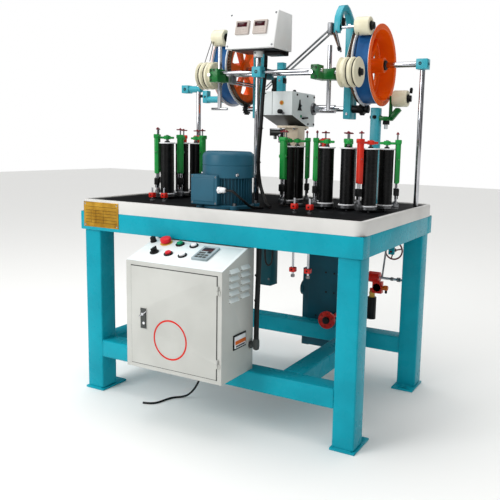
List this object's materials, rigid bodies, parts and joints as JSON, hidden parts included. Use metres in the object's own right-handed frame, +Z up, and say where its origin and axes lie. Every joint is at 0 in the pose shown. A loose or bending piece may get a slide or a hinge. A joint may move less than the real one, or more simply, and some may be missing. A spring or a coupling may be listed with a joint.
{
  "type": "maypole braiding machine",
  "caption": "Floor-standing cord braiding machine: a steel table carrying maypole bobbin heads, a vertical motor, take-up capstans, a length counter and a control cabinet.",
  "frame": {"origin": "on the floor, at the centre of the rectangle of foot bolt holes", "axes": "+Z up, +X to the right along the control side, +Y to the back"},
  "size_m": [1.2, 1.026, 1.564],
  "materials": {
    "black_bed": "satin",
    "black_plastic": "satin",
    "brass_plate": "satin",
    "chrome": "satin",
    "cream_paint": "satin",
    "cream_plastic": "satin",
    "display": "satin",
    "green_paint": "satin",
    "green_plastic": "satin",
    "grey_paint": "satin",
    "maroon_paint": "satin",
    "motor_paint": "satin",
    "orange_paint": "satin",
    "red_paint": "satin",
    "red_plastic": "satin",
    "rubber": "satin",
    "steel": "satin",
    "teal_paint": "satin",
    "turquoise_paint": "satin",
    "white_plastic": "satin",
    "yarn": "satin"
  },
  "bodies": {
    "frame": {"apron_frame": "teal_paint", "bar_clamps": "green_paint", "bed_plate": "black_bed", "bed_rim": "cream_paint", "cabinet_shell": "grey_paint", "chrome_rods": "chrome", "control_panel": "grey_paint", "counter_box": "grey_paint", "counters": "display", "drive_column": "teal_paint", "fan_cowl": "motor_paint", "foot_plates": "teal_paint", "gearbox_column": "cream_paint", "held_cables": "rubber", "lead_gland": "black_plastic", "legs": "teal_paint", "lower_rails": "teal_paint", "mains_lead": "rubber", "motor_body": "motor_paint", "nameplate": "brass_plate", "power_lamp": "white_plastic", "speed_keypad": "black_plastic", "stop_rods": "steel", "take_up_brackets": "turquoise_paint", "take_up_gearbox": "grey_paint", "terminal_box": "motor_paint", "underside_drive": "red_paint"},
    "cabinet_door": {"cabinet_door": "grey_paint"},
    "door_latch": {"door_latch": "steel"},
    "estop_button": {"estop_button": "red_plastic"},
    "green_button": {"green_button": "green_plastic"},
    "red_button": {"red_button": "red_plastic"},
    "white_button": {"white_button": "white_plastic"},
    "selector_switch": {"selector_switch": "black_plastic"},
    "speed_knob": {"speed_knob": "black_plastic"},
    "capstan_right": {"capstan_right": "orange_paint"},
    "capstan_left": {"capstan_left": "orange_paint"},
    "drive_shaft": {"drive_shaft": "steel"},
    "groove_roller_right": {"groove_roller_right": "cream_plastic"},
    "groove_roller_left": {"groove_roller_left": "cream_plastic"},
    "top_roller_right": {"top_roller_right": "cream_plastic"},
    "top_roller_left": {"top_roller_left": "cream_plastic"},
    "low_roller": {"low_roller": "cream_plastic"},
    "handwheel": {"handwheel": "maroon_paint"},
    "flange_disc": {"flange_disc": "red_paint"},
    "motor_rotor": {"motor_rotor": "steel"},
    "horn_gear_left_1": {"carriers_left_1": "steel", "bobbins_left_1": "yarn"},
    "horn_gear_left_2": {"carriers_left_2": "steel", "bobbins_left_2": "yarn"},
    "horn_gear_left_3": {"carriers_left_3": "steel", "bobbins_left_3": "yarn"},
    "horn_gear_right_1": {"carriers_right_1": "steel", "bobbins_right_1": "yarn"},
    "horn_gear_right_2": {"carriers_right_2": "steel", "bobbins_right_2": "yarn"},
    "horn_gear_right_3": {"carriers_right_3": "steel", "bobbins_right_3": "yarn"},
    "horn_gear_right_4": {"carriers_right_4": "steel", "bobbins_right_4": "yarn"}
  },
  "joints": [
    {"name": "door_hinge", "type": "hinge", "parent": "frame", "child": "cabinet_door", "pos_m": [0.16, -0.5495, 0.4], "axis": [0, 0, 1], "range_deg": [0, 110]},
    {"name": "latch_hinge", "type": "hinge", "parent": "cabinet_door", "child": "door_latch", "pos_m": [-0.1495, -0.55365, 0.428], "axis": [-1, 0, 0], "range_deg": [0, 60]},
    {"name": "estop_button_press", "type": "slide", "parent": "frame", "child": "estop_button", "axis": [0, 0.346, -0.9382], "range_m": [0, 0.004], "stiffness_N_per_m": 600, "springref_m": -0.002},
    {"name": "green_button_press", "type": "slide", "parent": "frame", "child": "green_button", "axis": [0, 0.346, -0.9382], "range_m": [0, 0.004], "stiffness_N_per_m": 600, "springref_m": -0.002},
    {"name": "red_button_press", "type": "slide", "parent": "frame", "child": "red_button", "axis": [0, 0.346, -0.9382], "range_m": [0, 0.004], "stiffness_N_per_m": 600, "springref_m": -0.002},
    {"name": "white_button_press", "type": "slide", "parent": "frame", "child": "white_button", "axis": [0, 0.346, -0.9382], "range_m": [0, 0.004], "stiffness_N_per_m": 600, "springref_m": -0.002},
    {"name": "selector_turn", "type": "hinge", "parent": "frame", "child": "selector_switch", "pos_m": [-0.155, -0.4812, 0.61953], "axis": [0, -0.346, 0.9382], "range_deg": [-45, 45]},
    {"name": "knob_turn", "type": "hinge", "parent": "frame", "child": "speed_knob", "pos_m": [-0.214, -0.41365, 0.64444], "axis": [0, -0.346, 0.9382], "range_deg": [-150, 150]},
    {"name": "capstan_right_spin", "type": "hinge", "parent": "frame", "child": "capstan_right", "pos_m": [0.357, 0.255, 1.335], "axis": [1, 0, 0], "continuous": true},
    {"name": "capstan_left_spin", "type": "hinge", "parent": "frame", "child": "capstan_left", "pos_m": [-0.269, 0.255, 1.335], "axis": [1, 0, 0], "continuous": true},
    {"name": "drive_shaft_spin", "type": "hinge", "parent": "frame", "child": "drive_shaft", "pos_m": [0, 0.255, 1.1625], "axis": [1, 0, 0], "continuous": true},
    {"name": "groove_roller_right_spin", "type": "hinge", "parent": "frame", "child": "groove_roller_right", "pos_m": [0.3535, 0.041, 1.288], "axis": [1, 0, 0], "continuous": true},
    {"name": "groove_roller_left_spin", "type": "hinge", "parent": "frame", "child": "groove_roller_left", "pos_m": [-0.2875, 0.041, 1.288], "axis": [1, 0, 0], "continuous": true},
    {"name": "top_roller_right_spin", "type": "hinge", "parent": "frame", "child": "top_roller_right", "pos_m": [0.369, 0.12, 1.468], "axis": [1, 0, 0], "continuous": true},
    {"name": "top_roller_left_spin", "type": "hinge", "parent": "frame", "child": "top_roller_left", "pos_m": [-0.281, 0.112, 1.452], "axis": [1, 0, 0], "continuous": true},
    {"name": "low_roller_spin", "type": "hinge", "parent": "frame", "child": "low_roller", "pos_m": [0.47, 0.3, 1.207], "axis": [1, 0, 0], "continuous": true},
    {"name": "handwheel_spin", "type": "hinge", "parent": "frame", "child": "handwheel", "pos_m": [0.433, 0.412, 0.563], "axis": [0, 1, 0], "continuous": true},
    {"name": "flange_disc_spin", "type": "hinge", "parent": "frame", "child": "flange_disc", "pos_m": [0.185, 0.274, 0.245], "axis": [0, 1, 0], "continuous": true},
    {"name": "motor_rotor_spin", "type": "hinge", "parent": "frame", "child": "motor_rotor", "pos_m": [0, -0.245, 0.85], "axis": [0, 0, 1], "continuous": true},
    {"name": "horn_gear_right_1_turn", "type": "hinge", "parent": "frame", "child": "horn_gear_right_1", "pos_m": [0.185, -0.02, 0.776], "axis": [0, 0, 1], "range_deg": [-11, 11]},
    {"name": "horn_gear_right_2_turn", "type": "hinge", "parent": "frame", "child": "horn_gear_right_2", "pos_m": [0.285, -0.02, 0.776], "axis": [0, 0, 1], "range_deg": [-11, 11]},
    {"name": "horn_gear_right_3_turn", "type": "hinge", "parent": "frame", "child": "horn_gear_right_3", "pos_m": [0.385, -0.02, 0.776], "axis": [0, 0, 1], "range_deg": [-11, 11]},
    {"name": "horn_gear_right_4_turn", "type": "hinge", "parent": "frame", "child": "horn_gear_right_4", "pos_m": [0.485, -0.02, 0.776], "axis": [0, 0, 1], "range_deg": [-11, 11]},
    {"name": "horn_gear_left_1_turn", "type": "hinge", "parent": "frame", "child": "horn_gear_left_1", "pos_m": [-0.4, -0.1, 0.776], "axis": [0, 0, 1], "range_deg": [-9, 9]},
    {"name": "horn_gear_left_2_turn", "type": "hinge", "parent": "frame", "child": "horn_gear_left_2", "pos_m": [-0.4, 0, 0.776], "axis": [0, 0, 1], "range_deg": [-9, 9]},
    {"name": "horn_gear_left_3_turn", "type": "hinge", "parent": "frame", "child": "horn_gear_left_3", "pos_m": [-0.4, 0.1, 0.776], "axis": [0, 0, 1], "range_deg": [-9, 9]}
  ],
  "couplings": [
    {"joint": "drive_shaft_spin", "follows": "capstan_right_spin", "ratio": -6.6667},
    {"joint": "capstan_left_spin", "follows": "capstan_right_spin", "ratio": 1},
    {"joint": "horn_gear_right_2_turn", "follows": "horn_gear_right_1_turn", "ratio": -1},
    {"joint": "horn_gear_right_3_turn", "follows": "horn_gear_right_1_turn", "ratio": 1},
    {"joint": "horn_gear_right_4_turn", "follows": "horn_gear_right_1_turn", "ratio": -1},
    {"joint": "horn_gear_left_2_turn", "follows": "horn_gear_left_1_turn", "ratio": -1},
    {"joint": "horn_gear_left_3_turn", "follows": "horn_gear_left_1_turn", "ratio": 1}
  ]
}
